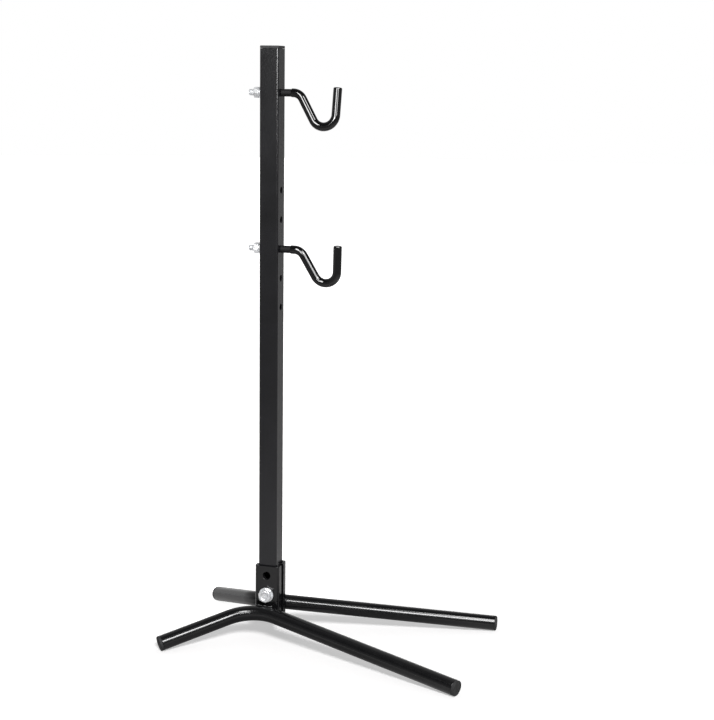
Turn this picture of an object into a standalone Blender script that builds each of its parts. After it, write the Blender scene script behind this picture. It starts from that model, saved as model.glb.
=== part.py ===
"""Bike display stand: a square post on two bent leg tubes, carrying two swivelling cradle hooks."""
import math
import bpy
import bmesh
from mathutils import Matrix, Vector

for old in list(bpy.data.objects):
    bpy.data.objects.remove(old, do_unlink=True)

# Fit between pieces that touch, how far a cutter passes a face, and how near an edge counts as on a face
GAP = 0.0003
OVERCUT = 0.0050
ON_FACE = 0.0001

# Post: its middle stands left of the middle of the four feet
POST_X = -0.0834
POST_WIDTH = 0.0254
POST_WALL = 0.0015
POST_CORNER = 0.0020
POST_BOTTOM = 0.0304
POST_TOP = 0.7836
HOOK_HOLE_HEIGHTS = (0.4532, 0.4912, 0.5292, 0.5672, 0.6052, 0.7287)
HOOK_HOLE_RADIUS = 0.0043
BASE_HOLE_HEIGHTS = (0.0627, 0.0893)
BASE_HOLE_RADIUS = 0.0053

# Top cap
CAP_TOP = 0.7871
CAP_EDGE = 0.0010
CAP_SKIRT_WIDTH = 0.0200
CAP_SKIRT_CORNER = 0.0012
CAP_SKIRT_DEPTH = 0.0150
CAP_SKIRT_WALL = 0.0014
CAP_RIB_WIDTH = 0.0217
CAP_RIB_CORNER = 0.0006
CAP_RIB_HEIGHT = 0.0012
CAP_RIB_DEPTHS = (0.0032, 0.0072, 0.0112)

# Leg brackets
BRACKET_WIDTH = 0.0340
BRACKET_FACE = 0.0160
BRACKET_PLATE = 0.0030
BRACKET_DEPTH = 0.0118
BRACKET_BOTTOM = 0.0302
BRACKET_TOP = 0.1026
BRACKET_OUTER_BEND = 0.0040
BRACKET_INNER_BEND = 0.0010
BRACKET_CORNER = 0.0024

# Leg tubes: the corner is where the two straight runs of the front tube would meet
TUBE_RADIUS = 0.0101
TUBE_WALL = 0.0015
TUBE_BEND_RADIUS = 0.0656
TUBE_CORNER = Vector((-0.0181, -0.0178, 0.0422))
RIGHT_FOOT = (0.2892, -0.1180)
LEFT_FOOT = (-0.1190, -0.1032)

# Foot plugs
PLUG_FLANGE = 0.0038
PLUG_RIM = 0.0011
PLUG_SKIRT_RADIUS = 0.0077
PLUG_SKIRT_LENGTH = 0.0150
PLUG_SKIRT_CHAMFER = 0.0008
PLUG_RIB_RADIUS = 0.0083
PLUG_RIB_DEPTHS = (0.0070, 0.0120)
PLUG_RIB_LENGTH = 0.0010
PLUG_BORE_RADIUS = 0.0062
PLUG_FLOOR = 0.0060

# Base bolt set
BASE_BOLT_RADIUS = 0.0050
BASE_BOLT_CHAMFER = 0.0012
BASE_BOLT_OVERHANG = 0.0035
BASE_HEX_FLATS = 0.0160
BASE_HEAD_HEIGHT = 0.0064
BASE_HEAD_DISH_RADIUS = 0.0055
BASE_HEAD_DISH_SLOPE = 0.0008
BASE_HEAD_DISH_DEPTH = 0.0012
BASE_HEAD_TURN = math.radians(11)
BASE_NUT_HEIGHT = 0.0080
BASE_NUT_TURN = math.radians(24)
BASE_WASHER_RADIUS = 0.0100
BASE_WASHER_THICKNESS = 0.0020
BASE_SPRING_WASHER_RADIUS = 0.0090
BASE_SPRING_WASHER_THICKNESS = 0.0022
BASE_SPRING_WASHER_TURN = math.radians(40)

# Hooks, measured along the stem from the middle of the post and upward from the stem
HOOK_ROD_RADIUS = 0.00475
HOOK_STEM_RADIUS = 0.0040
HOOK_STEM_END = -0.0309
HOOK_END_CHAMFER = 0.0008
HOOK_SLEEVE_RADIUS = 0.0056
HOOK_SLEEVE_BORE = 0.00505
HOOK_SLEEVE_START = 0.0266
HOOK_SHOULDER_X = 0.0382
HOOK_SHOULDER_BEND = 0.0144
HOOK_SLOPE = math.radians(59.9)
HOOK_TIP_X = 0.0886
HOOK_TIP_RISE = 0.0077
HOOK_TIP_LEAN = math.radians(1.9)
HOOK_TIP_ROUND = 0.0017
HOOK_CRADLE_BEND = 0.0159

# Each hook's height and turn about its stem, and how much its bends stand off from the common shape
UPPER_HOOK_HEIGHT = 0.7287
UPPER_HOOK_TURN = math.radians(-6.15)
UPPER_HOOK_SHIFT = -0.0013
LOWER_HOOK_HEIGHT = 0.5292
LOWER_HOOK_TURN = math.radians(3.3)
LOWER_HOOK_SHIFT = 0.0013

# Hook nut set
HOOK_NUT_FLATS = 0.0130
HOOK_NUT_HEIGHT = 0.0065
HOOK_NUT_TURN = math.radians(12)
HOOK_WASHER_RADIUS = 0.0080
HOOK_WASHER_THICKNESS = 0.0016
HOOK_SPRING_WASHER_RADIUS = 0.0070
HOOK_SPRING_WASHER_THICKNESS = 0.0020
HOOK_SPRING_WASHER_TURN = math.radians(70)

# Common to all nuts and washers
HEX_CHAMFER_SHARE = 0.475
HEX_CHAMFER_ANGLE = math.radians(30)
WASHER_CHAMFER = 0.0002
SPRING_WASHER_SLIT = 0.0008
SPRING_WASHER_SLANT = math.radians(32)

# Facets round each kind of round piece
DRILL_SIDES = 20
TURNED_SIDES = 24
WASHER_SIDES = 28

TURN_TO_X = Matrix.Rotation(math.radians(90), 4, "Y")
TURN_TO_Y = Matrix.Rotation(math.radians(90), 4, "X")

stand = bpy.data.collections.new("bike_display_stand")
cutters = bpy.data.collections.new("cutters")
bpy.context.scene.collection.children.link(stand)
bpy.context.scene.collection.children.link(cutters)


# Finishes
def finish(piece, colour, roughness, metallic):
    """Gives a piece its own surface finish."""
    made = bpy.data.materials.new(piece.name + "_finish")
    made.use_nodes = True
    shader = made.node_tree.nodes["Principled BSDF"]
    shader.inputs["Base Color"].default_value = (*colour, 1.0)
    shader.inputs["Roughness"].default_value = roughness
    shader.inputs["Metallic"].default_value = metallic
    piece.data.materials.clear()
    piece.data.materials.append(made)


def black_powder_coat(piece):
    finish(piece, (0.022, 0.022, 0.024), 0.42, 0.0)


def black_gloss_paint(piece):
    finish(piece, (0.012, 0.012, 0.014), 0.22, 0.0)


def black_plastic(piece):
    finish(piece, (0.020, 0.020, 0.021), 0.60, 0.0)


def black_vinyl(piece):
    finish(piece, (0.008, 0.008, 0.009), 0.16, 0.0)


def bright_zinc(piece):
    finish(piece, (0.70, 0.71, 0.73), 0.28, 1.0)


# Ways of making a solid
def shade_round(piece, angle=35):
    """Shades round surfaces smooth and keeps the true edges sharp."""
    piece.data.shade_smooth()
    piece.data.set_sharp_from_angle(angle=math.radians(angle))


def from_bmesh(name, form, home):
    """Turns a bmesh into a named object in the given collection."""
    bmesh.ops.recalc_face_normals(form, faces=form.faces)
    data = bpy.data.meshes.new(name)
    form.to_mesh(data)
    form.free()
    piece = bpy.data.objects.new(name, data)
    home.objects.link(piece)
    return piece


def settled(source, name, home):
    """A mesh of its own from a curve, or from a profile and its modifier, which is then removed."""
    bpy.context.view_layer.update()
    shape = source.evaluated_get(bpy.context.evaluated_depsgraph_get())
    data = bpy.data.meshes.new_from_object(shape)
    form = bmesh.new()
    form.from_mesh(data)
    bmesh.ops.remove_doubles(form, verts=form.verts, dist=0.000005)
    bpy.data.meshes.remove(data)
    bpy.data.objects.remove(source, do_unlink=True)
    piece = from_bmesh(name, form, home)
    shade_round(piece)
    return piece


def block(name, size, centre, home):
    """A box of the given size."""
    form = bmesh.new()
    bmesh.ops.create_cube(form, size=1.0)
    bmesh.ops.scale(form, vec=size, verts=form.verts)
    bmesh.ops.translate(form, vec=centre, verts=form.verts)
    return from_bmesh(name, form, home)


def round_edges(piece, width, segments, chosen):
    """Rounds the edges for which the test says yes."""
    form = bmesh.new()
    form.from_mesh(piece.data)
    picked = [edge for edge in form.edges if chosen(edge)]
    bmesh.ops.bevel(form, geom=picked, offset=width, segments=segments, profile=0.5, affect="EDGES")
    form.to_mesh(piece.data)
    form.free()


def is_upright(edge):
    run = edge.verts[1].co - edge.verts[0].co
    return abs(run.z) > 0.9 * run.length


def rod(name, radius, length, centre, turn, home, sides=DRILL_SIDES):
    """A plain cylinder along its own Z, turned into place."""
    form = bmesh.new()
    bmesh.ops.create_cone(form, cap_ends=True, segments=sides, radius1=radius, radius2=radius, depth=length)
    bmesh.ops.transform(form, matrix=Matrix.Translation(centre) @ turn, verts=form.verts)
    piece = from_bmesh(name, form, home)
    shade_round(piece)
    return piece


def turned(name, profile, sides, home):
    """A turned solid: the profile of radius and height runs down its outer side, from top to bottom."""
    form = bmesh.new()
    corners = [form.verts.new((radius, 0.0, height)) for radius, height in profile]
    for first, second in zip(corners, corners[1:]):
        form.edges.new((first, second))
    outline = from_bmesh(name + "_profile", form, home)
    lathe = outline.modifiers.new("lathe", "SCREW")
    lathe.axis = "Z"
    lathe.steps = sides
    lathe.render_steps = sides
    lathe.use_merge_vertices = True
    lathe.merge_threshold = 0.00002
    return settled(outline, name, home)


def swept(name, points, radii, resolution, capped, home):
    """A round bar along a path, with its own radius at each point."""
    path = bpy.data.curves.new(name + "_path", "CURVE")
    path.dimensions = "3D"
    path.bevel_depth = 1.0
    path.bevel_resolution = resolution
    path.use_fill_caps = capped
    spline = path.splines.new("POLY")
    spline.points.add(len(points) - 1)
    for place, spot, radius in zip(spline.points, points, radii):
        place.co = (*spot, 1.0)
        place.radius = radius
    holder = bpy.data.objects.new(name + "_path", path)
    home.objects.link(holder)
    return settled(holder, name, home)


def bend(before, corner, after, radius, count):
    """Points of the round bend that replaces the corner of a path."""
    back = (before - corner).normalized()
    ahead = (after - corner).normalized()
    half = back.angle(ahead) / 2
    centre = corner + (back + ahead).normalized() * (radius / math.sin(half))
    start = corner + back * (radius / math.tan(half)) - centre
    end = corner + ahead * (radius / math.tan(half)) - centre
    sweep = start.angle(end)
    spots = []
    for step in range(count + 1):
        turn = sweep * step / count
        spots.append(centre + (start * math.sin(sweep - turn) + end * math.sin(turn)) / math.sin(sweep))
    return spots


# Ways of joining, cutting and placing
def combine(piece, other, operation):
    """Adds a Boolean step with another solid, which is kept as a hidden wire form."""
    other.hide_render = True
    other.display_type = "WIRE"
    step = piece.modifiers.new(operation.lower(), "BOOLEAN")
    step.operation = operation
    step.solver = "EXACT"
    step.object = other


def merge_cutters(name, pieces):
    """Gathers several separate cutting solids in one object."""
    form = bmesh.new()
    for piece in pieces:
        form.from_mesh(piece.data)
        bpy.data.objects.remove(piece, do_unlink=True)
    merged = from_bmesh(name, form, cutters)
    shade_round(merged)
    return merged


def set_under(piece, parent, location=(0.0, 0.0, 0.0), turn=Matrix.Identity(4)):
    """Hangs a piece, with the forms that cut or extend it, from a parent at its place and turn."""
    group = [piece] + [step.object for step in piece.modifiers if step.type == "BOOLEAN"]
    for member in group:
        member.parent = parent
        member.rotation_mode = "QUATERNION"
        member.rotation_quaternion = turn.to_quaternion()
        member.location = location


# The frame empty stands on the floor below the post, and every fixed piece hangs from it
frame = bpy.data.objects.new("stand_frame", None)
frame.location = (POST_X, 0.0, 0.0)
stand.objects.link(frame)


# Post: square steel tube, with hook holes through its sides and bolt holes through its faces
def square_post():
    height = POST_TOP - POST_BOTTOM
    middle = (0.0, 0.0, (POST_TOP + POST_BOTTOM) / 2)
    post = block("post", (POST_WIDTH, POST_WIDTH, height), middle, stand)
    round_edges(post, POST_CORNER, 3, is_upright)
    bore_width = POST_WIDTH - 2 * POST_WALL
    bore = block("post_bore", (bore_width, bore_width, height + OVERCUT), middle, cutters)
    round_edges(bore, POST_CORNER - POST_WALL, 1, is_upright)
    combine(post, bore, "DIFFERENCE")
    drills = []
    reach = 2 * POST_WIDTH
    for spot in HOOK_HOLE_HEIGHTS:
        drills.append(rod("hook_drill", HOOK_HOLE_RADIUS, reach, (0.0, 0.0, spot), TURN_TO_X, cutters))
    for spot in BASE_HOLE_HEIGHTS:
        drills.append(rod("base_drill", BASE_HOLE_RADIUS, reach, (0.0, 0.0, spot), TURN_TO_Y, cutters))
    combine(post, merge_cutters("post_holes", drills), "DIFFERENCE")
    black_powder_coat(post)
    set_under(post, frame)


# Top cap: moulded plug with a flat flange over the tube end and a ribbed hollow skirt inside it
def top_cap():
    seat = POST_TOP + GAP
    height = CAP_TOP - seat
    cap = block("post_top_cap", (POST_WIDTH, POST_WIDTH, height), (0.0, 0.0, seat + height / 2), stand)
    round_edges(cap, POST_CORNER, 3, is_upright)
    round_edges(cap, CAP_EDGE, 2, lambda edge: min(vert.co.z for vert in edge.verts) > CAP_TOP - ON_FACE)
    skirt = block("cap_skirt", (CAP_SKIRT_WIDTH, CAP_SKIRT_WIDTH, CAP_SKIRT_DEPTH + height / 2),
                  (0.0, 0.0, seat + (height / 2 - CAP_SKIRT_DEPTH) / 2), cutters)
    round_edges(skirt, CAP_SKIRT_CORNER, 2, is_upright)
    combine(cap, skirt, "UNION")
    for depth in CAP_RIB_DEPTHS:
        size = (CAP_RIB_WIDTH, CAP_RIB_WIDTH, CAP_RIB_HEIGHT)
        rib = block("cap_rib", size, (0.0, 0.0, seat - depth), cutters)
        round_edges(rib, CAP_RIB_CORNER, 1, is_upright)
        combine(cap, rib, "UNION")
    hollow_width = CAP_SKIRT_WIDTH - 2 * CAP_SKIRT_WALL
    hollow = block("cap_hollow", (hollow_width, hollow_width, CAP_SKIRT_DEPTH),
                   (0.0, 0.0, seat - CAP_SKIRT_WALL - CAP_SKIRT_DEPTH / 2), cutters)
    combine(cap, hollow, "DIFFERENCE")
    black_plastic(cap)
    set_under(cap, frame)


# Leg brackets: two pressed steel channels that face each other round the foot of the post
def leg_bracket(name, side):
    height = BRACKET_TOP - BRACKET_BOTTOM
    middle = (BRACKET_TOP + BRACKET_BOTTOM) / 2
    centre = (0.0, side * (BRACKET_FACE - BRACKET_DEPTH / 2), middle)
    bracket = block(name, (BRACKET_WIDTH, BRACKET_DEPTH, height), centre, stand)

    def is_outer_bend(edge):
        return is_upright(edge) and side * edge.verts[0].co.y > BRACKET_FACE - ON_FACE

    def is_free_corner(edge):
        runs_across = abs(edge.verts[1].co.x - edge.verts[0].co.x) > BRACKET_WIDTH / 2
        return runs_across and side * edge.verts[0].co.y < BRACKET_FACE - BRACKET_DEPTH + ON_FACE

    round_edges(bracket, BRACKET_OUTER_BEND, 4, is_outer_bend)
    round_edges(bracket, BRACKET_CORNER, 3, is_free_corner)
    inner_face = BRACKET_FACE - BRACKET_PLATE
    inner_width = BRACKET_WIDTH - 2 * BRACKET_PLATE
    channel = block(name + "_channel", (inner_width, 2 * BRACKET_DEPTH, height + OVERCUT),
                    (0.0, side * (inner_face - BRACKET_DEPTH), middle), cutters)
    round_edges(channel, BRACKET_INNER_BEND, 2,
                lambda edge: is_upright(edge) and side * edge.verts[0].co.y > inner_face - ON_FACE)
    combine(bracket, channel, "DIFFERENCE")
    drills = []
    for spot in BASE_HOLE_HEIGHTS:
        place = (0.0, side * BRACKET_FACE, spot)
        drills.append(rod("bracket_drill", BASE_HOLE_RADIUS, 4 * BRACKET_PLATE, place, TURN_TO_Y, cutters))
    combine(bracket, merge_cutters(name + "_holes", drills), "DIFFERENCE")
    black_powder_coat(bracket)
    set_under(bracket, frame)


# Leg tubes: each one length of round tube bent once beside the post, sloping down to both its feet
def foot_height(slope):
    """Height of a foot's end face centre that sets the rounded rim of its plug on the floor."""
    return (TUBE_RADIUS - PLUG_RIM) * math.cos(slope) + PLUG_RIM * (1 - math.sin(slope))


def foot_centre(spot):
    """Centre of the foot's end face, found by letting the slope and the height settle together."""
    run = math.hypot(spot[0] - TUBE_CORNER.x, spot[1] - TUBE_CORNER.y)
    height = TUBE_RADIUS
    for _ in range(4):
        height = foot_height(math.atan2(TUBE_CORNER.z - height, run))
    return Vector((spot[0], spot[1], height))


def on_side(spot, side):
    """The rear leg is the front leg mirrored through the post."""
    return Vector((spot.x, -side * spot.y, spot.z))


def foot_plug(name, end, inward):
    """Moulded end plug: a flange as wide as the tube, and a ribbed hollow skirt pushed inside it."""
    depth = PLUG_FLANGE + PLUG_SKIRT_LENGTH
    outline = [
        (0.0, PLUG_FLOOR),
        (PLUG_BORE_RADIUS, PLUG_FLOOR),
        (PLUG_BORE_RADIUS, depth),
        (PLUG_SKIRT_RADIUS - PLUG_SKIRT_CHAMFER, depth),
        (PLUG_SKIRT_RADIUS, depth - PLUG_SKIRT_CHAMFER),
    ]
    for rib in reversed(PLUG_RIB_DEPTHS):
        outline += [
            (PLUG_SKIRT_RADIUS, rib + PLUG_RIB_LENGTH),
            (PLUG_RIB_RADIUS, rib),
            (PLUG_SKIRT_RADIUS, rib),
        ]
    outline += [(PLUG_SKIRT_RADIUS, PLUG_FLANGE), (TUBE_RADIUS, PLUG_FLANGE)]
    for step in range(3):
        angle = math.radians(45 * step)
        outline.append((TUBE_RADIUS - PLUG_RIM * (1 - math.cos(angle)), PLUG_RIM * (1 - math.sin(angle))))
    outline.append((0.0, 0.0))
    plug = turned(name, outline, TURNED_SIDES, stand)
    black_plastic(plug)
    set_under(plug, frame, end, inward.to_track_quat("Z", "Y").to_matrix().to_4x4())


def leg(label, side):
    corner = on_side(TUBE_CORNER, side)
    right = on_side(foot_centre(RIGHT_FOOT), side)
    left = on_side(foot_centre(LEFT_FOOT), side)
    right_way = (corner - right).normalized()
    left_way = (corner - left).normalized()
    inset = PLUG_FLANGE + GAP
    path = [left + left_way * inset]
    path += bend(left, corner, right, TUBE_BEND_RADIUS, 10)
    path.append(right + right_way * inset)
    tube = swept(label + "_leg_tube", path, [TUBE_RADIUS] * len(path), 10, False, stand)
    wall = tube.modifiers.new("wall", "SOLIDIFY")
    wall.thickness = TUBE_WALL
    wall.offset = -1.0
    wall.use_even_offset = True
    black_gloss_paint(tube)
    set_under(tube, frame)
    foot_plug(label + "_right_foot_plug", right, right_way)
    foot_plug(label + "_left_foot_plug", left, left_way)


# Bolts, nuts and washers: bright zinc-plated steel
def hexagon(name, flats, height):
    """Six-sided bar standing on height zero."""
    form = bmesh.new()
    across = flats / math.sqrt(3)
    bmesh.ops.create_cone(form, cap_ends=True, segments=6, radius1=across, radius2=across, depth=height)
    bmesh.ops.translate(form, vec=(0.0, 0.0, height / 2), verts=form.verts)
    return from_bmesh(name, form, stand)


def hex_chamfer(flats):
    """Radius of the turned face on a hexagon, radius past its corners, and the drop between the two."""
    face = flats * HEX_CHAMFER_SHARE
    corner = flats / math.sqrt(3) + ON_FACE
    return face, corner, (corner - face) * math.tan(HEX_CHAMFER_ANGLE)


def hex_nut(name, flats, height, bore):
    """Hexagon nut with both faces chamfered at the corners."""
    nut = hexagon(name, flats, height)
    face, corner, drop = hex_chamfer(flats)
    outline = [
        (0.0, height),
        (face, height),
        (corner, height - drop),
        (corner, drop),
        (face, 0.0),
        (0.0, 0.0),
    ]
    combine(nut, turned(name + "_chamfer", outline, TURNED_SIDES, cutters), "INTERSECT")
    through = rod(name + "_bore", bore, 3 * height, (0.0, 0.0, height / 2), Matrix.Identity(4), cutters)
    combine(nut, through, "DIFFERENCE")
    bright_zinc(nut)
    return nut


def ring(name, bore, radius, thickness):
    """Flat ring standing on height zero, with its outer edges broken."""
    outline = [
        (bore, thickness),
        (radius - WASHER_CHAMFER, thickness),
        (radius, thickness - WASHER_CHAMFER),
        (radius, WASHER_CHAMFER),
        (radius - WASHER_CHAMFER, 0.0),
        (bore, 0.0),
        (bore, thickness),
    ]
    made = turned(name, outline, WASHER_SIDES, stand)
    bright_zinc(made)
    return made


def spring_washer(name, bore, radius, thickness):
    """Ring with one slanting cut, pressed flat by its nut."""
    washer = ring(name, bore, radius, thickness)
    size = (SPRING_WASHER_SLIT, 2 * radius, 3 * thickness)
    slit = block(name + "_slit", size, (0.0, radius, 0.0), cutters)
    slant = Matrix.Translation((0.0, 0.0, thickness / 2)) @ Matrix.Rotation(SPRING_WASHER_SLANT, 4, "Y")
    slit.data.transform(slant)
    combine(washer, slit, "DIFFERENCE")
    return washer


# Base bolt set: one long bolt through both brackets and the post, with its nut at the rear
def base_bolt_set():
    height = BASE_HOLE_HEIGHTS[0]
    head_seat = BRACKET_FACE + BASE_WASHER_THICKNESS + 2 * GAP
    lock_seat = BRACKET_FACE + BASE_WASHER_THICKNESS + BASE_SPRING_WASHER_THICKNESS + 2 * GAP
    nut_end = lock_seat + GAP + BASE_NUT_HEIGHT

    bolt = hexagon("base_bolt", BASE_HEX_FLATS, BASE_HEAD_HEIGHT)
    face, corner, drop = hex_chamfer(BASE_HEX_FLATS)
    dish_floor = BASE_HEAD_HEIGHT - BASE_HEAD_DISH_DEPTH
    head = [
        (0.0, dish_floor),
        (BASE_HEAD_DISH_RADIUS - BASE_HEAD_DISH_SLOPE, dish_floor),
        (BASE_HEAD_DISH_RADIUS, BASE_HEAD_HEIGHT),
        (face, BASE_HEAD_HEIGHT),
        (corner, BASE_HEAD_HEIGHT - drop),
        (corner, -OVERCUT),
        (0.0, -OVERCUT),
    ]
    combine(bolt, turned("base_bolt_head_form", head, TURNED_SIDES, cutters), "INTERSECT")
    length = head_seat + nut_end + BASE_BOLT_OVERHANG
    shank = [
        (0.0, BASE_HEAD_HEIGHT / 2),
        (BASE_BOLT_RADIUS, BASE_HEAD_HEIGHT / 2),
        (BASE_BOLT_RADIUS, BASE_BOLT_CHAMFER - length),
        (BASE_BOLT_RADIUS - BASE_BOLT_CHAMFER, -length),
        (0.0, -length),
    ]
    combine(bolt, turned("base_bolt_shank", shank, TURNED_SIDES, cutters), "UNION")
    bright_zinc(bolt)

    bore = BASE_BOLT_RADIUS + GAP
    front_washer = ring("base_bolt_washer", bore, BASE_WASHER_RADIUS, BASE_WASHER_THICKNESS)
    rear_washer = ring("base_nut_washer", bore, BASE_WASHER_RADIUS, BASE_WASHER_THICKNESS)
    lock = spring_washer("base_spring_washer", bore, BASE_SPRING_WASHER_RADIUS, BASE_SPRING_WASHER_THICKNESS)
    nut = hex_nut("base_nut", BASE_HEX_FLATS, BASE_NUT_HEIGHT, bore)
    stack = (
        (bolt, -head_seat, BASE_HEAD_TURN),
        (front_washer, -BRACKET_FACE - GAP, 0.0),
        (rear_washer, BRACKET_FACE + BASE_WASHER_THICKNESS + GAP, 0.0),
        (lock, lock_seat, BASE_SPRING_WASHER_TURN),
        (nut, nut_end, BASE_NUT_TURN),
    )
    for piece, place, roll in stack:
        set_under(piece, frame, (0.0, place, height), TURN_TO_Y @ Matrix.Rotation(roll, 4, "Z"))


# Hooks: bent steel rod with a threaded stem through the post and a thick vinyl coat on the cradle
def hook_path(shift, start):
    """Centre line from the given place on the stub, through both bends, to the tip."""
    shoulder = Vector((HOOK_SHOULDER_X + shift, 0.0, 0.0))
    tip = Vector((HOOK_TIP_X + shift, 0.0, HOOK_TIP_RISE))
    slope = Vector((math.cos(HOOK_SLOPE), 0.0, -math.sin(HOOK_SLOPE)))
    fall = Vector((-math.sin(HOOK_TIP_LEAN), 0.0, -math.cos(HOOK_TIP_LEAN)))
    across = tip - shoulder
    reach = (across.x * fall.z - across.z * fall.x) / (slope.x * fall.z - slope.z * fall.x)
    low = shoulder + slope * reach
    path = [Vector((start, 0.0, 0.0))]
    path += bend(path[0], shoulder, low, HOOK_SHOULDER_BEND, 5)
    path += bend(shoulder, low, tip, HOOK_CRADLE_BEND, 12)
    return path, tip, fall


def hook_rod(label, shift, seat):
    """Steel rod: threaded stem, shoulder against the post, plain stub, then the bent cradle."""
    path, tip, fall = hook_path(shift, HOOK_SLEEVE_START)
    end = tip + fall * (HOOK_SLEEVE_RADIUS - HOOK_ROD_RADIUS)
    stem = (
        (HOOK_STEM_END, HOOK_STEM_RADIUS - HOOK_END_CHAMFER),
        (HOOK_STEM_END + HOOK_END_CHAMFER, HOOK_STEM_RADIUS),
        (seat, HOOK_STEM_RADIUS),
        (seat + ON_FACE / 5, HOOK_ROD_RADIUS),
    )
    points = [Vector((place, 0.0, 0.0)) for place, _ in stem]
    points += path[1:] + [end + fall * HOOK_END_CHAMFER, end]
    radii = [radius for _, radius in stem]
    radii += [HOOK_ROD_RADIUS] * len(path) + [HOOK_ROD_RADIUS - HOOK_END_CHAMFER]
    bar = swept(label + "_hook_rod", points, radii, 6, True, stand)
    black_gloss_paint(bar)
    return bar


def hook_sleeve(label, shift):
    """Vinyl coat: an even skin over the cradle, closed and rounded at the tip."""
    path, tip, fall = hook_path(shift, HOOK_SLEEVE_START)
    lip = HOOK_SLEEVE_RADIUS - HOOK_SLEEVE_BORE
    points = [path[0], path[0] + Vector((lip, 0.0, 0.0))] + path[1:]
    radii = [HOOK_SLEEVE_RADIUS - lip / 2] + [HOOK_SLEEVE_RADIUS] * len(path)
    for step in range(4):
        angle = math.radians(30 * step)
        points.append(tip + fall * HOOK_TIP_ROUND * (1 - math.sin(angle)))
        radii.append(HOOK_SLEEVE_RADIUS - HOOK_TIP_ROUND * (1 - math.cos(angle)))
    sleeve = swept(label + "_hook_sleeve", points, radii, 6, True, stand)
    inner, tip, fall = hook_path(shift, HOOK_SLEEVE_START - OVERCUT)
    inner.append(tip + fall * lip)
    bore = swept(label + "_sleeve_bore", inner, [HOOK_SLEEVE_BORE] * len(inner), 6, True, cutters)
    combine(sleeve, bore, "DIFFERENCE")
    black_vinyl(sleeve)
    return sleeve


def hook(label, height, turn, shift):
    pivot = bpy.data.objects.new(label + "_hook_pivot", None)
    pivot.location = (POST_X, 0.0, height)
    pivot.rotation_euler = (turn, 0.0, 0.0)
    stand.objects.link(pivot)

    seat = POST_WIDTH / 2 + GAP
    set_under(hook_rod(label, shift, seat), pivot)
    set_under(hook_sleeve(label, shift), pivot)

    bore = HOOK_STEM_RADIUS + GAP
    name = label + "_hook_"
    washer = ring(name + "washer", bore, HOOK_WASHER_RADIUS, HOOK_WASHER_THICKNESS)
    lock = spring_washer(name + "spring_washer", bore, HOOK_SPRING_WASHER_RADIUS,
                         HOOK_SPRING_WASHER_THICKNESS)
    nut = hex_nut(name + "nut", HOOK_NUT_FLATS, HOOK_NUT_HEIGHT, bore)
    stack = (
        (washer, HOOK_WASHER_THICKNESS, 0.0),
        (lock, HOOK_SPRING_WASHER_THICKNESS + GAP, HOOK_SPRING_WASHER_TURN),
        (nut, HOOK_NUT_HEIGHT + GAP, HOOK_NUT_TURN),
    )
    place = -seat
    for piece, depth, roll in stack:
        place -= depth
        set_under(piece, pivot, (place, 0.0, 0.0), TURN_TO_X @ Matrix.Rotation(roll, 4, "Z"))


square_post()
top_cap()
leg_bracket("front_bracket", -1)
leg_bracket("rear_bracket", 1)
leg("front", -1)
leg("rear", 1)
base_bolt_set()
hook("upper", UPPER_HOOK_HEIGHT, UPPER_HOOK_TURN, UPPER_HOOK_SHIFT)
hook("lower", LOWER_HOOK_HEIGHT, LOWER_HOOK_TURN, LOWER_HOOK_SHIFT)
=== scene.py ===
"""Bike display stand: its finished pieces and a plain studio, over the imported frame."""
import math
import random

import bmesh
import bpy
from mathutils import Matrix, Vector


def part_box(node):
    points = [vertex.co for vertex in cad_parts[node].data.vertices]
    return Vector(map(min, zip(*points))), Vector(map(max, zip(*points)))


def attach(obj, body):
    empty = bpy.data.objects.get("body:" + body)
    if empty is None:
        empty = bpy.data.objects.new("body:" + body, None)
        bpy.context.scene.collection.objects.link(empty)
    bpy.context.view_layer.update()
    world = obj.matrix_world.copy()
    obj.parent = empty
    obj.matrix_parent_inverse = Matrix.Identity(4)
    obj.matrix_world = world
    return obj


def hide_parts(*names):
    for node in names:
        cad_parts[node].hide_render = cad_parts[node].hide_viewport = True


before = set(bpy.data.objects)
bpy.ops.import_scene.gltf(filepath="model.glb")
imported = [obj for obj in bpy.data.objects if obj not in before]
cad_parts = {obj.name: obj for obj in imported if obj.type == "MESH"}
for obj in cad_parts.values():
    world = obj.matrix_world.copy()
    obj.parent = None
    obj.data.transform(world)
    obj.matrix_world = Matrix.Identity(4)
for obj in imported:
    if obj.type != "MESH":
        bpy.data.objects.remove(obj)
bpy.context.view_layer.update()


# Post: 25 mm square steel tube, roll-formed with round corners and cut to length. Hook holes are
# drilled through its sides and bolt holes through its faces, and then it gets a satin black
# powder coat, which also softens the edges of the holes.
SAME_POINT = 0.000002
FACING = 0.9


def only(piece):
    """Makes one piece the only one selected."""
    bpy.ops.object.select_all(action="DESELECT")
    piece.select_set(True)
    bpy.context.view_layer.objects.active = piece


def started(name):
    """The primitive that was just added, under its own name and with its place in its mesh."""
    piece = bpy.context.active_object
    piece.name = name
    piece.data.name = name
    only(piece)
    bpy.ops.object.transform_apply(location=True, rotation=True, scale=True)
    return piece


def edit(piece, kind="FACE", test=None):
    """Opens a piece in edit mode with what passes the test selected, or all of it."""
    if bpy.context.mode == "OBJECT":
        only(piece)
        bpy.ops.object.mode_set(mode="EDIT")
    bpy.ops.mesh.select_mode(type=kind)
    bpy.ops.mesh.select_all(action="DESELECT" if test else "SELECT")
    if test:
        form = bmesh.from_edit_mesh(piece.data)
        members = {"VERT": form.verts, "EDGE": form.edges, "FACE": form.faces}[kind]
        for member in [member for member in members if test(member)]:
            member.select_set(True)
        form.select_flush_mode()
        bmesh.update_edit_mesh(piece.data)


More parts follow.
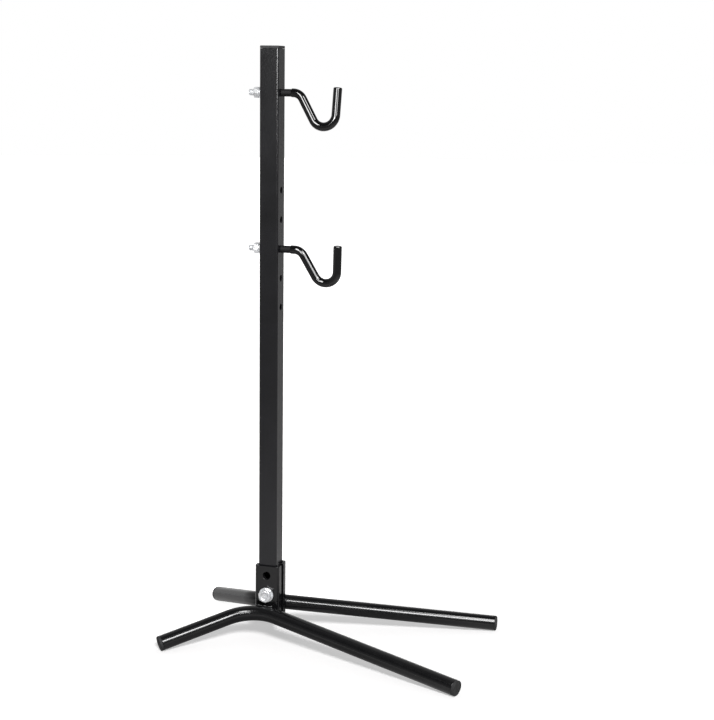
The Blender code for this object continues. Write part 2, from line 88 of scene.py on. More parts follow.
def close(piece, sharp=35.0):
    """Ends editing: doubles merged, faces turned outwards, round surfaces shaded smooth."""
    edit(piece)
    bpy.ops.mesh.remove_doubles(threshold=SAME_POINT)
    bpy.ops.mesh.normals_make_consistent(inside=False)
    bpy.ops.object.mode_set(mode="OBJECT")
    bpy.ops.object.shade_smooth_by_angle(angle=math.radians(sharp))


def modify(piece, kind, **settings):
    """Adds a modifier and applies it."""
    only(piece)
    step = piece.modifiers.new(kind.lower(), kind)
    for name, value in settings.items():
        setattr(step, name, value)
    bpy.ops.object.modifier_apply(modifier=step.name)


def combine(piece, others, operation="DIFFERENCE"):
    """Cuts the other solids out of the piece, or keeps what it shares with them, and removes them."""
    for other in others:
        modify(piece, "BOOLEAN", object=other, operation=operation, solver="EXACT")
        bpy.data.objects.remove(other, do_unlink=True)


def break_edges(piece, width, sharp=50.0, segments=3):
    """Rounds every sharp edge by a small width and lets the flats keep their true normals."""
    modify(piece, "BEVEL", width=width, segments=segments, limit_method="ANGLE",
           angle_limit=math.radians(sharp))
    close(piece)
    modify(piece, "WEIGHTED_NORMAL", keep_sharp=True)


def drill(radius, middle, along, length, sides=64):
    """A drill for a round hole through the given middle."""
    turn = Vector(along).to_track_quat("Z", "Y").to_euler()
    bpy.ops.object.select_all(action="DESELECT")
    bpy.ops.mesh.primitive_cylinder_add(vertices=sides, radius=radius, depth=length, location=middle,
                                        rotation=turn)
    return started("drill")


def belongs(piece, node, body):
    """The piece stands for its node, whose imported part it hides, and rides with its body."""
    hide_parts(node)
    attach(piece, body)


def linear(code):
    """An sRGB hex colour as the linear colour that a shader takes."""
    parts = [int(code[place:place + 2], 16) / 255 for place in (0, 2, 4)]
    return (*[part / 12.92 if part <= 0.04045 else ((part + 0.055) / 1.055) ** 2.4 for part in parts], 1.0)


def add(tree, kind, values=None, links=None, **settings):
    """Adds a shader node with its settings, socket values and links."""
    made = tree.nodes.new("ShaderNode" + kind)
    for name, value in settings.items():
        setattr(made, name, value)
    for socket, value in (values or {}).items():
        made.inputs[socket].default_value = value
    for socket, source in (links or {}).items():
        tree.links.new(source, made.inputs[socket])
    return made


post_low, post_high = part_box("post")
POST_X = (post_low.x + post_high.x) / 2
POST_WIDTH = post_high.x - post_low.x
POST_WALL = 0.0015
POST_CORNER = 0.0020
POST_EDGE = 0.00025
HOOK_HOLE_HEIGHTS = (0.4532, 0.4912, 0.5292, 0.5672, 0.6052, 0.7287)
HOOK_HOLE_RADIUS = 0.0043
BOLT_HOLE_HEIGHTS = (0.0627, 0.0893)
BOLT_HOLE_RADIUS = 0.0053


def is_upright(edge):
    run = edge.verts[1].co - edge.verts[0].co
    return abs(run.z) > FACING * run.length


bpy.ops.object.select_all(action="DESELECT")
bpy.ops.mesh.primitive_cube_add(size=1.0, location=(post_low + post_high) / 2, scale=post_high - post_low)
post = started("post_tube")
edit(post, "FACE", lambda face: abs(face.normal.z) > FACING)
bpy.ops.mesh.delete(type="ONLY_FACE")
edit(post, "EDGE", is_upright)
bpy.ops.mesh.bevel(offset=POST_CORNER, segments=8, affect="EDGES")
bpy.ops.object.mode_set(mode="OBJECT")
modify(post, "SOLIDIFY", thickness=POST_WALL, offset=-1.0, use_even_offset=True)
combine(post, [drill(HOOK_HOLE_RADIUS, (POST_X, 0.0, height), (1.0, 0.0, 0.0), 2 * POST_WIDTH)
               for height in HOOK_HOLE_HEIGHTS])
combine(post, [drill(BOLT_HOLE_RADIUS, (POST_X, 0.0, height), (0.0, 1.0, 0.0), 2 * POST_WIDTH)
               for height in BOLT_HOLE_HEIGHTS])
break_edges(post, POST_EDGE)

# Satin polyester powder coat: cured powder flows out to a shallow orange peel about 2 mm across,
# with a finer grain that spreads each highlight into a soft band.
satin = bpy.data.materials.new("satin_powder_coat")
satin.use_nodes = True
tree = satin.node_tree
coat = tree.nodes["Principled BSDF"]
coat.inputs["IOR"].default_value = 1.5
where = add(tree, "TexCoord").outputs["Object"]
peel = add(tree, "TexNoise", {"Scale": 480.0, "Detail": 2.0, "Roughness": 0.45}, {"Vector": where})
grain = add(tree, "TexNoise", {"Scale": 1900.0, "Detail": 3.0, "Roughness": 0.6}, {"Vector": where})
cloud = add(tree, "TexNoise", {"Scale": 22.0, "Detail": 4.0, "Roughness": 0.5}, {"Vector": where})
patch = add(tree, "MapRange", {"From Min": 0.3, "From Max": 0.7}, {"Value": cloud.outputs["Fac"]})
shade = add(tree, "Mix", {6: linear("121214"), 7: linear("18181b")}, {0: patch.outputs["Result"]},
            data_type="RGBA")
gloss = add(tree, "MapRange", {"To Min": 0.19, "To Max": 0.23}, {"Value": patch.outputs["Result"]})
wave = add(tree, "Bump", {"Strength": 0.6, "Distance": 0.000020}, {"Height": peel.outputs["Fac"]})
grit = add(tree, "Bump", {"Strength": 0.5, "Distance": 0.000006},
           {"Height": grain.outputs["Fac"], "Normal": wave.outputs["Normal"]})
tree.links.new(shade.outputs[2], coat.inputs["Base Color"])
tree.links.new(gloss.outputs["Result"], coat.inputs["Roughness"])
tree.links.new(grit.outputs["Normal"], coat.inputs["Normal"])
post.data.materials.append(satin)
belongs(post, "post", "stand")


# Top cap: injection-moulded polyethylene plug. A flat flange with a rounded rim covers the tube's
# end, and a hollow skirt with three ribs is pushed inside it. The gate leaves a small mark on top.
cap_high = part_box("post_top_cap")[1]
GAP = 0.0003
NEAR = 0.0001
CAP_SEAT = post_high.z + GAP
CAP_RIM = 0.0010
CAP_EDGE = 0.00012
CAP_SKIRT_INSET = 0.0027
CAP_SKIRT = POST_WIDTH / 2 - CAP_SKIRT_INSET
CAP_SKIRT_CORNER = 0.0012
CAP_SKIRT_DEPTH = 0.0150
CAP_SKIRT_WALL = 0.0014
CAP_HOLLOW_CORNER = 0.0005
CAP_RIB_DEPTHS = (0.0032, 0.0072, 0.0112)
CAP_RIB_HALF = 0.0006
CAP_RIB_SPREAD = 1.085
CAP_GATE_RADIUS = 0.0016
CAP_GATE_DEPTH = 0.0006

bpy.ops.object.select_all(action="DESELECT")
bpy.ops.mesh.primitive_cube_add(size=1.0, location=(POST_X, 0.0, (CAP_SEAT + cap_high.z) / 2),
                                scale=(POST_WIDTH, POST_WIDTH, cap_high.z - CAP_SEAT))
cap = started("post_end_cap")
edit(cap, "FACE", lambda face: face.normal.z < -FACING)
bpy.ops.mesh.inset(thickness=CAP_SKIRT_INSET)
bpy.ops.mesh.extrude_region_move(TRANSFORM_OT_translate={"value": (0.0, 0.0, -CAP_SKIRT_DEPTH)})
bpy.ops.mesh.inset(thickness=CAP_SKIRT_WALL)
bpy.ops.mesh.extrude_region_move(
    TRANSFORM_OT_translate={"value": (0.0, 0.0, CAP_SKIRT_DEPTH - CAP_SKIRT_WALL)})
for reach, corner in ((POST_WIDTH / 2, POST_CORNER), (CAP_SKIRT, CAP_SKIRT_CORNER),
                      (CAP_SKIRT - CAP_SKIRT_WALL, CAP_HOLLOW_CORNER)):
    edit(cap, "EDGE", lambda edge: is_upright(edge)
         and abs(abs(edge.verts[0].co.x - POST_X) - reach) < NEAR)
    bpy.ops.mesh.bevel(offset=corner, segments=8, affect="EDGES")
for depth in CAP_RIB_DEPTHS:
    for step in (CAP_RIB_HALF, 0.0, -CAP_RIB_HALF):
        edit(cap)
        bpy.ops.mesh.bisect(plane_co=(POST_X, 0.0, CAP_SEAT - depth + step), plane_no=(0.0, 0.0, 1.0))
    edit(cap, "VERT", lambda vert: abs(vert.co.z - CAP_SEAT + depth) < NEAR
         and max(abs(vert.co.x - POST_X), abs(vert.co.y)) > CAP_SKIRT - CAP_SKIRT_WALL / 2)
    bpy.ops.transform.resize(value=(CAP_RIB_SPREAD, CAP_RIB_SPREAD, 1.0), center_override=(POST_X, 0.0, 0.0))
edit(cap, "EDGE", lambda edge: min(vert.co.z for vert in edge.verts) > cap_high.z - NEAR)
bpy.ops.mesh.bevel(offset=CAP_RIM, segments=5, affect="EDGES")
bpy.ops.object.mode_set(mode="OBJECT")
combine(cap, [drill(CAP_GATE_RADIUS, (POST_X, 0.0, cap_high.z), (0.0, 0.0, 1.0), 2 * CAP_GATE_DEPTH,
                    sides=32)])
break_edges(cap, CAP_EDGE)

# Moulded polyethylene: a spark-eroded mould leaves an even matte grain, about 0.2 mm wide and
# drawn a little coarser so that it shows, with slightly shinier patches where it has been handled.
moulded = bpy.data.materials.new("moulded_polyethylene")
moulded.use_nodes = True
tree = moulded.node_tree
plastic = tree.nodes["Principled BSDF"]
plastic.inputs["IOR"].default_value = 1.5
where = add(tree, "TexCoord").outputs["Object"]
spark = add(tree, "TexVoronoi", {"Scale": 2600.0, "Randomness": 1.0}, {"Vector": where}, feature="SMOOTH_F1")
cloud = add(tree, "TexNoise", {"Scale": 140.0, "Detail": 4.0, "Roughness": 0.6}, {"Vector": where})
patch = add(tree, "MapRange", {"From Min": 0.3, "From Max": 0.7}, {"Value": cloud.outputs["Fac"]})
shade = add(tree, "Mix", {6: linear("121213"), 7: linear("1c1c1e")}, {0: patch.outputs["Result"]},
            data_type="RGBA")
gloss = add(tree, "MapRange", {"To Min": 0.82, "To Max": 0.72}, {"Value": patch.outputs["Result"]})
pits = add(tree, "Bump", {"Strength": 0.8, "Distance": 0.00003}, {"Height": spark.outputs["Distance"]})
tree.links.new(shade.outputs[2], plastic.inputs["Base Color"])
tree.links.new(gloss.outputs["Result"], plastic.inputs["Roughness"])
tree.links.new(pits.outputs["Normal"], plastic.inputs["Normal"])
cap.data.materials.append(moulded)
belongs(cap, "post_top_cap", "stand")


# Leg brackets: 3 mm steel plate pressed into a channel round the front or rear half of the post,
# with both bolt holes punched through its face. The rear one is the same pressing turned round.
bracket_low, bracket_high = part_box("front_bracket")
BRACKET_PLATE = 0.0030
BRACKET_BEND = 0.0040
BRACKET_CORNER = 0.0024
BRACKET_EDGE = 0.0004
BRACKET_DRILL = 0.0200
HALF_TURN = Matrix.Translation((2 * POST_X, 0.0, 0.0)) @ Matrix.Rotation(math.pi, 4, "Z")

bpy.ops.object.select_all(action="DESELECT")
bpy.ops.mesh.primitive_cube_add(size=1.0, location=(bracket_low + bracket_high) / 2,
                                scale=bracket_high - bracket_low)
front_bracket = started("front_bracket_channel")
edit(front_bracket, "FACE", lambda face: abs(face.normal.z) > FACING or face.normal.y > FACING)
bpy.ops.mesh.delete(type="FACE")
edit(front_bracket, "VERT", lambda vert: vert.co.y > bracket_high.y - NEAR)
bpy.ops.mesh.bevel(offset=BRACKET_CORNER, segments=6, affect="VERTICES")
edit(front_bracket, "EDGE", lambda edge: is_upright(edge) and edge.verts[0].co.y < bracket_low.y + NEAR)
bpy.ops.mesh.bevel(offset=BRACKET_BEND, segments=8, affect="EDGES")
bpy.ops.object.mode_set(mode="OBJECT")
modify(front_bracket, "SOLIDIFY", thickness=BRACKET_PLATE, offset=-1.0, use_even_offset=True)
combine(front_bracket, [drill(BOLT_HOLE_RADIUS, (POST_X, bracket_low.y, height), (0.0, 1.0, 0.0),
                              BRACKET_DRILL) for height in BOLT_HOLE_HEIGHTS])
break_edges(front_bracket, BRACKET_EDGE)


def copy_of(piece, name, place):
    """A copy with its own mesh, moved to its place, which is then put in the mesh."""
    twin = piece.copy()
    twin.data = piece.data.copy()
    twin.name = name
    twin.data.name = name
    bpy.context.scene.collection.objects.link(twin)
    twin.data.transform(place)
    if place.determinant() < 0:
        twin.data.flip_normals()
    return twin


# Gloss black enamel, sprayed over the welded brackets and legs: it flows out almost to a mirror,
# with a faint long wave, a little dust in the film and slightly duller patches.
enamel = bpy.data.materials.new("gloss_black_enamel")
enamel.use_nodes = True
tree = enamel.node_tree
paint = tree.nodes["Principled BSDF"]
paint.inputs["IOR"].default_value = 1.5
where = add(tree, "TexCoord").outputs["Object"]
flow = add(tree, "TexNoise", {"Scale": 230.0, "Detail": 1.0, "Roughness": 0.4}, {"Vector": where})
dust = add(tree, "TexVoronoi", {"Scale": 420.0, "Randomness": 1.0}, {"Vector": where})
speck = add(tree, "MapRange", {"From Min": 0.0, "From Max": 0.10, "To Min": 1.0, "To Max": 0.0},
            {"Value": dust.outputs["Distance"]})
cloud = add(tree, "TexNoise", {"Scale": 28.0, "Detail": 5.0, "Roughness": 0.55}, {"Vector": where})
patch = add(tree, "MapRange", {"From Min": 0.3, "From Max": 0.7}, {"Value": cloud.outputs["Fac"]})
shade = add(tree, "Mix", {6: linear("0b0b0d"), 7: linear("111112")}, {0: patch.outputs["Result"]},
            data_type="RGBA")
gloss = add(tree, "MapRange", {"To Min": 0.14, "To Max": 0.19}, {"Value": patch.outputs["Result"]})
wave = add(tree, "Bump", {"Strength": 0.4, "Distance": 0.000020}, {"Height": flow.outputs["Fac"]})
nib = add(tree, "Bump", {"Strength": 0.4, "Distance": 0.000010},
          {"Height": speck.outputs["Result"], "Normal": wave.outputs["Normal"]})
tree.links.new(shade.outputs[2], paint.inputs["Base Color"])
tree.links.new(gloss.outputs["Result"], paint.inputs["Roughness"])
tree.links.new(nib.outputs["Normal"], paint.inputs["Normal"])
front_bracket.data.materials.append(enamel)
rear_bracket = copy_of(front_bracket, "rear_bracket_channel", HALF_TURN)
belongs(front_bracket, "front_bracket", "stand")
belongs(rear_bracket, "rear_bracket", "stand")


# Leg tubes: 20 mm round steel tube, each length bent once on a former beside the post, so that
# both its runs slope down to their feet. The rear one is the front one mirrored.
TUBE_RADIUS = 0.0101
TUBE_WALL = 0.0015
TUBE_EDGE = 0.0003
TUBE_SIDES = 96
TUBE_BEND_RADIUS = 0.0656
TUBE_BEND_STEPS = 40
TUBE_CORNER = Vector((POST_X - 0.0181, -0.0178, 0.0422))
RIGHT_FOOT = (POST_X + 0.2892, -0.1180)
LEFT_FOOT = (POST_X - 0.1190, -0.1032)
PLUG_FLANGE = 0.0038
PLUG_RIM = 0.0011
TUBE_END = PLUG_FLANGE + GAP
MIRROR = Matrix.Diagonal((1.0, -1.0, 1.0, 1.0))


def foot_centre(spot):
    """Centre of a leg's end face, which sets the rounded rim of its plug on the floor."""
    run = math.hypot(spot[0] - TUBE_CORNER.x, spot[1] - TUBE_CORNER.y)
    height = TUBE_RADIUS
    for _ in range(4):
        slope = math.atan2(TUBE_CORNER.z - height, run)
        height = (TUBE_RADIUS - PLUG_RIM) * math.cos(slope) + PLUG_RIM * (1 - math.sin(slope))
    return Vector((*spot, height))


def bent_bar(name, radius, sides, start, turns, end):
    """A closed round bar: a circle extruded along each run and spun round each bend.

    Each turn gives the corner that its bend replaces, the bend's radius and its number of steps.
    """
    way = (turns[0][0] - start).normalized()
    bpy.ops.object.select_all(action="DESELECT")
    bpy.ops.mesh.primitive_circle_add(vertices=sides, radius=radius, fill_type="NOTHING", location=start,
                                      rotation=way.to_track_quat("Z", "Y").to_euler())
    bar = started(name)
    edit(bar, "VERT")
    here = start
    corners = [turn[0] for turn in turns] + [end]
    for (corner, bend_radius, steps), following in zip(turns, corners[1:]):
        back = (here - corner).normalized()
        ahead = (following - corner).normalized()
        half = back.angle(ahead) / 2
        reach = bend_radius / math.tan(half)
        centre = corner + (back + ahead).normalized() * (bend_radius / math.sin(half))
        move = corner + back * reach - here
        bpy.ops.mesh.extrude_region_move(TRANSFORM_OT_translate={"value": move})
        bpy.ops.mesh.spin(steps=steps, angle=2 * half - math.pi, center=centre, axis=ahead.cross(back))
        here = corner + ahead * reach
    bpy.ops.mesh.extrude_region_move(TRANSFORM_OT_translate={"value": end - here})
    edit(bar)
    bpy.ops.mesh.remove_doubles(threshold=SAME_POINT)
    bpy.ops.mesh.fill_holes(sides=0)
    close(bar)
    return bar


def is_end(face):
    """All the other faces of a closed bar have four corners."""
    return len(face.verts) > 4


def hollow(bar, wall, test=is_end):
    """Opens the ends of a closed bar, or the one that passes the test, and gives it a wall."""
    edit(bar, "FACE", test)
    bpy.ops.mesh.delete(type="ONLY_FACE")
    bpy.ops.object.mode_set(mode="OBJECT")
    modify(bar, "SOLIDIFY", thickness=wall, offset=-1.0, use_even_offset=True)


right_end = foot_centre(RIGHT_FOOT)
left_end = foot_centre(LEFT_FOOT)
right_inward = (TUBE_CORNER - right_end).normalized()
left_inward = (TUBE_CORNER - left_end).normalized()
front_tube = bent_bar("front_leg_bent_tube", TUBE_RADIUS, TUBE_SIDES, left_end + left_inward * TUBE_END,
                      [(TUBE_CORNER, TUBE_BEND_RADIUS, TUBE_BEND_STEPS)],
                      right_end + right_inward * TUBE_END)
hollow(front_tube, TUBE_WALL)
break_edges(front_tube, TUBE_EDGE)
front_tube.data.materials.append(enamel)
rear_tube = copy_of(front_tube, "rear_leg_bent_tube", MIRROR)
belongs(front_tube, "front_leg_tube", "stand")
belongs(rear_tube, "rear_leg_tube", "stand")


# Welds: a bead above and below each leg tube, where it lies against its bracket. The torch leaves
# a row of overlapping round ripples about 2 mm apart, and the enamel covers them.
BEAD_PITCH = 0.0020
BEAD_COUNT = 11
BEAD_START = POST_X - 0.0133
BEAD_OUT = 0.0011
BEAD_STRAY = 0.0002
BEAD_VOXEL = 0.00028
UPPER_BEAD_HEIGHT = 0.0458
LOWER_BEAD_HEIGHT = 0.0332
PUDDLE_HALVES = (0.0024, 0.0020, 0.0026)
PUDDLE_TILT = 0.35
puddle = random.Random(7)


def joined(name, pieces):
    """Several solids as one piece."""
    bpy.ops.object.select_all(action="DESELECT")
    for member in pieces:
        member.select_set(True)
    bpy.context.view_layer.objects.active = pieces[0]
    bpy.ops.object.join()
    pieces[0].name = name
    return pieces[0]


def finish_with(piece, material):
    """Gives the whole piece one material."""
    piece.data.materials.clear()
    piece.data.materials.append(material)


def weld_bead(name, height):
    """A row of flattened puddles that overlap, fused and smoothed into one bead."""
    puddles = []
    for step in range(BEAD_COUNT):
        spot = (BEAD_START + step * BEAD_PITCH + puddle.uniform(-BEAD_STRAY, BEAD_STRAY),
                bracket_low.y - BEAD_OUT + puddle.uniform(-BEAD_STRAY / 2, BEAD_STRAY / 2),
                height + puddle.uniform(-BEAD_STRAY, BEAD_STRAY))
        bpy.ops.object.select_all(action="DESELECT")
        bpy.ops.mesh.primitive_uv_sphere_add(segments=24, ring_count=12, radius=1.0, location=spot,
                                             scale=PUDDLE_HALVES, rotation=(0.0, PUDDLE_TILT, 0.0))
        puddles.append(started(name))
    bead = joined(name, puddles)
    modify(bead, "REMESH", mode="VOXEL", voxel_size=BEAD_VOXEL, use_smooth_shade=True)
    modify(bead, "SMOOTH", factor=0.5, iterations=3)
    close(bead, sharp=60.0)
    finish_with(bead, enamel)
    return bead


upper_bead = weld_bead("front_upper_weld", UPPER_BEAD_HEIGHT)
lower_bead = weld_bead("front_lower_weld", LOWER_BEAD_HEIGHT)
for bead in (upper_bead, lower_bead, copy_of(upper_bead, "rear_upper_weld", MIRROR),
             copy_of(lower_bead, "rear_lower_weld", MIRROR)):
    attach(bead, "stand")


# Foot plugs: moulded like the cap, one in each tube end. The flange is as wide as the tube, with a
# rounded rim and a shallow dish round the gate mark, and two ribs hold the hollow skirt inside.
PLUG_RADIUS = 0.01002
PLUG_SEAT = 0.00005
PLUG_EDGE = 0.00010
ROUND_STEP = 15
ROUND_STEPS = 90 // ROUND_STEP

# Radius and height of the skirt and flange, from the floor of the hollow outwards, and then of the
# dished face inside the rounded rim.
PLUG_OUTLINE = (
    (0.0000, 0.0060), (0.0062, 0.0060), (0.0062, 0.0188), (0.0069, 0.0188), (0.0077, 0.0180),
    (0.0077, 0.0130), (0.0083, 0.0120), (0.0077, 0.0120), (0.0077, 0.0080), (0.0083, 0.0070),
    (0.0077, 0.0070), (0.0077, PLUG_FLANGE), (PLUG_RADIUS, PLUG_FLANGE),
)
PLUG_FACE = ((0.0076, 0.0000), (0.0072, 0.0003), (0.0014, 0.0003), (0.0012, 0.0001), (0.0000, 0.0001))


def drawn(name, points):
    """An open outline of radius and height, drawn from one point by extruding."""
    bpy.ops.object.select_all(action="DESELECT")
    bpy.ops.mesh.primitive_plane_add(size=1.0)
    outline = started(name)
    edit(outline, "VERT")
    bpy.ops.mesh.merge(type="CENTER")
    bpy.ops.transform.translate(value=(points[0][0], 0.0, points[0][1]))
    for (radius, height), (wider, higher) in zip(points, points[1:]):
        step = (wider - radius, 0.0, higher - height)
        bpy.ops.mesh.extrude_region_move(TRANSFORM_OT_translate={"value": step})
    bpy.ops.object.mode_set(mode="OBJECT")
    return outline


def turned(name, points, sides=96):
    """A closed solid turned about its own Z from an outline of radius and height."""
    piece = drawn(name, points)
    modify(piece, "SCREW", axis="Z", steps=sides, render_steps=sides, use_merge_vertices=True,
           merge_threshold=SAME_POINT)
    close(piece)
    return piece


rim = []
for step in range(ROUND_STEPS + 1):
    angle = math.radians(ROUND_STEP * step)
    rim.append((PLUG_RADIUS - PLUG_RIM * (1 - math.cos(angle)), PLUG_RIM * (1 - math.sin(angle))))
plug = turned("foot_end_plug", [*PLUG_OUTLINE, *rim, *PLUG_FACE])
break_edges(plug, PLUG_EDGE, sharp=40.0, segments=2)
plug.data.materials.append(moulded)
for label, end, inward in (("right", right_end, right_inward), ("left", left_end, left_inward)):
    place = Matrix.Translation(end + inward * PLUG_SEAT) @ inward.to_track_quat("Z", "Y").to_matrix().to_4x4()
    front_plug = copy_of(plug, f"front_{label}_end_plug", place)
    rear_plug = copy_of(front_plug, f"rear_{label}_end_plug", MIRROR)
    belongs(front_plug, f"front_{label}_foot_plug", "stand")
    belongs(rear_plug, f"rear_{label}_foot_plug", "stand")
bpy.data.objects.remove(plug, do_unlink=True)


# Base bolt set: an M10 hexagon bolt through both brackets and the post. Its forged head has a
# chamfered face with a shallow round dish, its rear end a rolled thread with a flat washer, a
# split spring washer and a nut.
PAST = 0.001
HEX_SHARE = 0.475
HEX_SLOPE = math.tan(math.radians(30))
HEX_SPARE = 0.0002
HEX_TURN = 1.0
THREAD_DEPTH = 0.6
THREAD_TOOTH = ((0.0, 0.0), (0.0, 0.12), (1.0, 0.45), (1.0, 0.57), (0.0, 0.90), (0.0, 1.0))
THREAD_STEPS = 48
THREAD_SIDES = 64
THREAD_SPARE_ROUNDS = 3
NUT_UNDER_RISE = 0.4
NUT_BORE_CHAMFER = 0.0006
NUT_EDGE = 0.00012
WASHER_EDGE = 0.00022
SLIT_WIDTH = 0.0008
SLIT_SLANT = 32
SPRING_EDGE = 0.00018


def hexagon(name, flats, height, dish=()):
    """Six-sided bar standing on height zero, its top corners turned off and its face dished.

    It is drawn turned by a degree, so that its corners miss the edges of the forms that trim it.
    """
    across = flats / math.sqrt(3)
    bpy.ops.object.select_all(action="DESELECT")
    bpy.ops.mesh.primitive_cylinder_add(vertices=6, radius=across, depth=height,
                                        location=(0.0, 0.0, height / 2),
                                        rotation=(0.0, 0.0, math.radians(HEX_TURN)))
    bar = started(name)
    face = flats * HEX_SHARE
    corner = across + HEX_SPARE
    drop = (corner - face) * HEX_SLOPE
    outline = [*(dish or [(0.0, height)]), (face, height), (corner, height - drop),
               (corner, -PAST), (0.0, -PAST)]
    combine(bar, [turned(name + "_form", outline)], "INTERSECT")
    return bar


def threaded(name, radius, pitch, length, chamfer):
    """A rolled thread from height zero downwards, cut by half a pitch too long at both ends.

    One tooth's outline is screwed round, and a turned form then trims it and chamfers its end.
    """
    depth = THREAD_DEPTH * pitch
    bar = drawn(name, [(radius - depth * (1 - out), along * pitch) for out, along in THREAD_TOOTH])
    rounds = math.ceil(length / pitch) + THREAD_SPARE_ROUNDS
    modify(bar, "SCREW", axis="Z", steps=THREAD_STEPS, render_steps=THREAD_STEPS, screw_offset=pitch,
           iterations=rounds)
    edit(bar)
    bpy.ops.mesh.remove_doubles(threshold=SAME_POINT)
    bpy.ops.mesh.select_all(action="SELECT")
    bpy.ops.mesh.bisect(plane_co=(0.0, 0.0, pitch), plane_no=(0.0, 0.0, 1.0), use_fill=True, clear_inner=True)
    bpy.ops.mesh.select_all(action="SELECT")
    bpy.ops.mesh.bisect(plane_co=(0.0, 0.0, 2 * pitch + length), plane_no=(0.0, 0.0, 1.0), use_fill=True,
                        clear_outer=True)
    bpy.ops.mesh.select_all(action="SELECT")
    bpy.ops.transform.translate(value=(0.0, 0.0, -1.5 * pitch - length))
    close(bar, sharp=25.0)
    outline = ((0.0, 0.0), (radius + PAST, 0.0), (radius + PAST, chamfer - length + PAST),
               (radius - chamfer, -length), (0.0, -length))
    combine(bar, [turned(name + "_form", outline, THREAD_SIDES)], "INTERSECT")
    close(bar, sharp=25.0)
    return bar


def nut(name, flats, height, bore):
    """Hexagon nut with both faces chamfered and its bore opened out at both ends."""
    made = hexagon(name, flats, height)
    under = ((0.0, height + PAST), (flats, height + PAST), (flats, HEX_SLOPE * NUT_UNDER_RISE * flats),
             (flats * HEX_SHARE, 0.0), (0.0, 0.0))
    combine(made, [turned(name + "_under", under)], "INTERSECT")
    wide = bore + NUT_BORE_CHAMFER
    outline = ((0.0, height + PAST), (wide + PAST, height + PAST), (bore, height - NUT_BORE_CHAMFER),
               (bore, NUT_BORE_CHAMFER), (wide + PAST, -PAST), (0.0, -PAST))
    combine(made, [turned(name + "_bore", outline, THREAD_SIDES)])
    break_edges(made, NUT_EDGE, sharp=28.0, segments=2)
    return made


def ring(name, bore, radius, thickness):
    """Square-edged ring standing on height zero."""
    outline = ((bore, thickness), (radius, thickness), (radius, 0.0), (bore, 0.0), (bore, thickness))
    return turned(name, outline)


def washer(name, bore, radius, thickness):
    """Ring blanked from sheet and then tumbled, which rounds its edges."""
    piece = ring(name, bore, radius, thickness)
    break_edges(piece, WASHER_EDGE)
    return piece


def spring_washer(name, bore, radius, thickness):
    """Square wire coiled once and cut on a slant, pressed flat by its nut."""
    piece = ring(name, bore, radius, thickness)
    bpy.ops.object.select_all(action="DESELECT")
    bpy.ops.mesh.primitive_cube_add(size=1.0, location=(0.0, radius, thickness / 2),
                                    rotation=(0.0, math.radians(SLIT_SLANT), 0.0),
                                    scale=(SLIT_WIDTH, 2 * radius, 4 * thickness))
    combine(piece, [started(name + "_slit")])
    break_edges(piece, SPRING_EDGE)
    return piece


# Bright zinc plate over cold-formed steel: a pale, slightly blue metal under a thin clouded
# passivation film, which whitens it, so it isn't all metal to the eye. Fine drawing marks and the
# plating's crystals, both drawn coarser than they are, break its reflections up.
zinc = bpy.data.materials.new("bright_zinc_plate")
zinc.use_nodes = True
tree = zinc.node_tree
plate = tree.nodes["Principled BSDF"]
plate.inputs["Metallic"].default_value = 0.72
where = add(tree, "TexCoord").outputs["Object"]
crystal = add(tree, "TexVoronoi", {"Scale": 2600.0, "Randomness": 1.0}, {"Vector": where})
marks = add(tree, "TexNoise", {"Scale": 900.0, "Detail": 4.0, "Roughness": 0.6}, {"Vector": where})
cloud = add(tree, "TexNoise", {"Scale": 150.0, "Detail": 3.0, "Roughness": 0.5}, {"Vector": where})
patch = add(tree, "MapRange", {"From Min": 0.3, "From Max": 0.7}, {"Value": cloud.outputs["Fac"]})
shade = add(tree, "Mix", {6: linear("e8eaed"), 7: linear("f6f7f8")}, {0: patch.outputs["Result"]},
            data_type="RGBA")
gloss = add(tree, "MapRange", {"From Min": 0.2, "From Max": 0.8, "To Min": 0.27, "To Max": 0.31},
            {"Value": crystal.outputs["Color"]})
scratch = add(tree, "Bump", {"Strength": 0.5, "Distance": 0.000012}, {"Height": marks.outputs["Fac"]})
tree.links.new(shade.outputs[2], plate.inputs["Base Color"])
tree.links.new(gloss.outputs["Result"], plate.inputs["Roughness"])
tree.links.new(scratch.outputs["Normal"], plate.inputs["Normal"])

TO_FRONT = Matrix.Rotation(math.radians(90), 4, "X")
BOLT_RADIUS = 0.0050
BOLT_BORE = BOLT_RADIUS + GAP
BOLT_HEX = 0.0160
BOLT_HEAD = 0.0064
BOLT_HEAD_EDGE = 0.00015
BOLT_DISH = ((0.0, 0.0009), (0.0004, 0.0013), (0.0008, 0.0012), (0.0041, 0.0012), (0.0055, 0.0))
BOLT_THREAD = 0.0240
BOLT_PITCH = 0.0015
BOLT_CHAMFER = 0.0012
BOLT_OVERHANG = 0.0035
SHANK_IN_HEAD = 0.0020
SHANK_IN_THREAD = 0.0004
SHANK_TAPER = 0.0008
SHANK_TAPER_START = 0.0006
BOLT_WASHER = 0.0020
BOLT_WASHER_RADIUS = 0.0100
BOLT_LOCK = 0.0022
BOLT_LOCK_RADIUS = 0.0090
BOLT_NUT = 0.0080
bracket_face = -bracket_low.y
head_seat = bracket_face + BOLT_WASHER + 2 * GAP
lock_seat = bracket_face + BOLT_WASHER + BOLT_LOCK + 2 * GAP
nut_end = lock_seat + GAP + BOLT_NUT
bolt_length = head_seat + nut_end + BOLT_OVERHANG
plain_end = BOLT_THREAD - bolt_length

